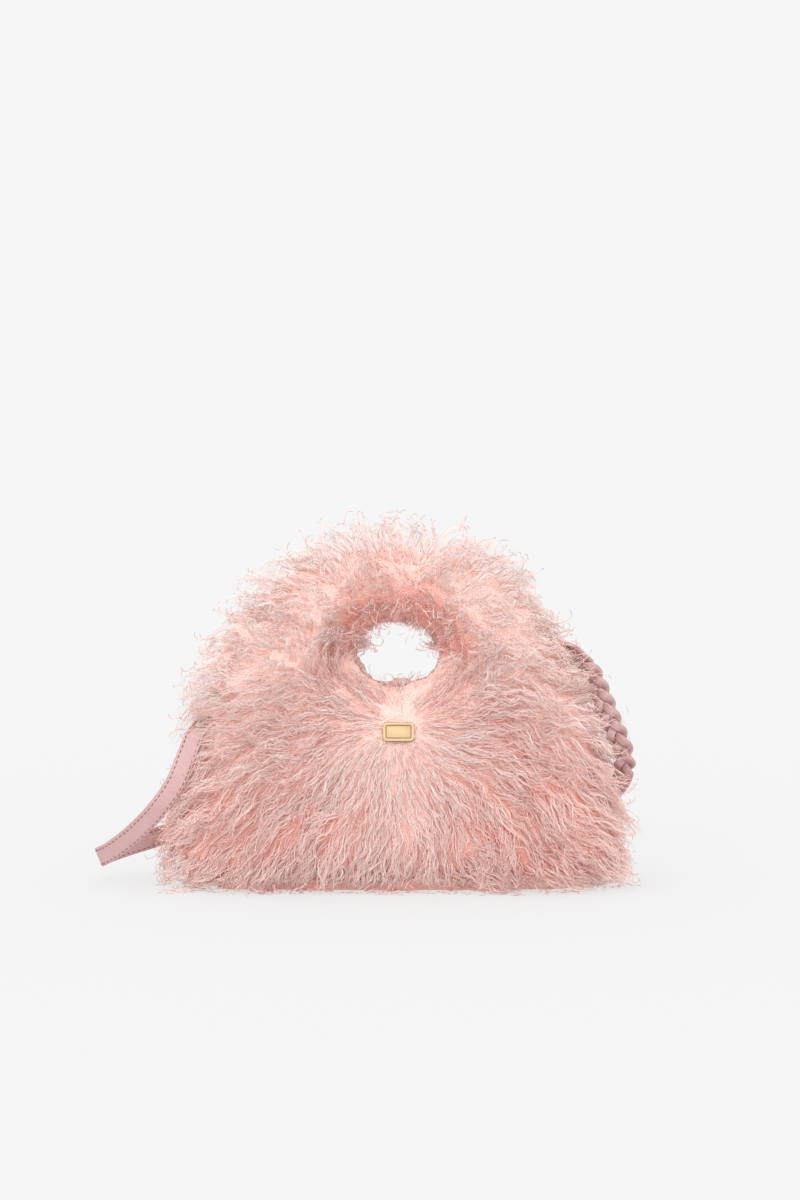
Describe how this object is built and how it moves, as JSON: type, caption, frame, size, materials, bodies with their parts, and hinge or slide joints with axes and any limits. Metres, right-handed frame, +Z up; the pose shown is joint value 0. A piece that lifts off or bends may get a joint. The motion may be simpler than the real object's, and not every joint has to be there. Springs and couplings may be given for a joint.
{
  "type": "mini hobo bag",
  "caption": "Small half-moon handbag in deep curly shearling with a round grip hole, a padded top handle, a plain metal plaque and a part-plaited leather shoulder strap.",
  "frame": {"origin": "on the floor, under the middle of the pouch, on the flat that the pile is pressed to", "axes": "+Z up, -Y towards the bag's front with the plaque, +X to the right seen from the front, where the plait is"},
  "size_m": [0.3115, 0.1102, 0.2042],
  "materials": {
    "hide": "matte suede",
    "handle_roll": "matte suede",
    "shearling": "deep curly pile",
    "strap_leather": "smooth, satin",
    "plaque_metal": "polished pale gold"
  },
  "bodies": {
    "root": {"pouch": "hide", "handle": "handle_roll", "shearling_front": "shearling", "shearling_back": "shearling", "shearling_base": "shearling", "plaque": "plaque_metal", "strap": "strap_leather", "plait_lace_1": "strap_leather", "plait_lace_2": "strap_leather", "plait_lace_3": "strap_leather", "strap_tab": "strap_leather"}
  },
  "joints": []
}
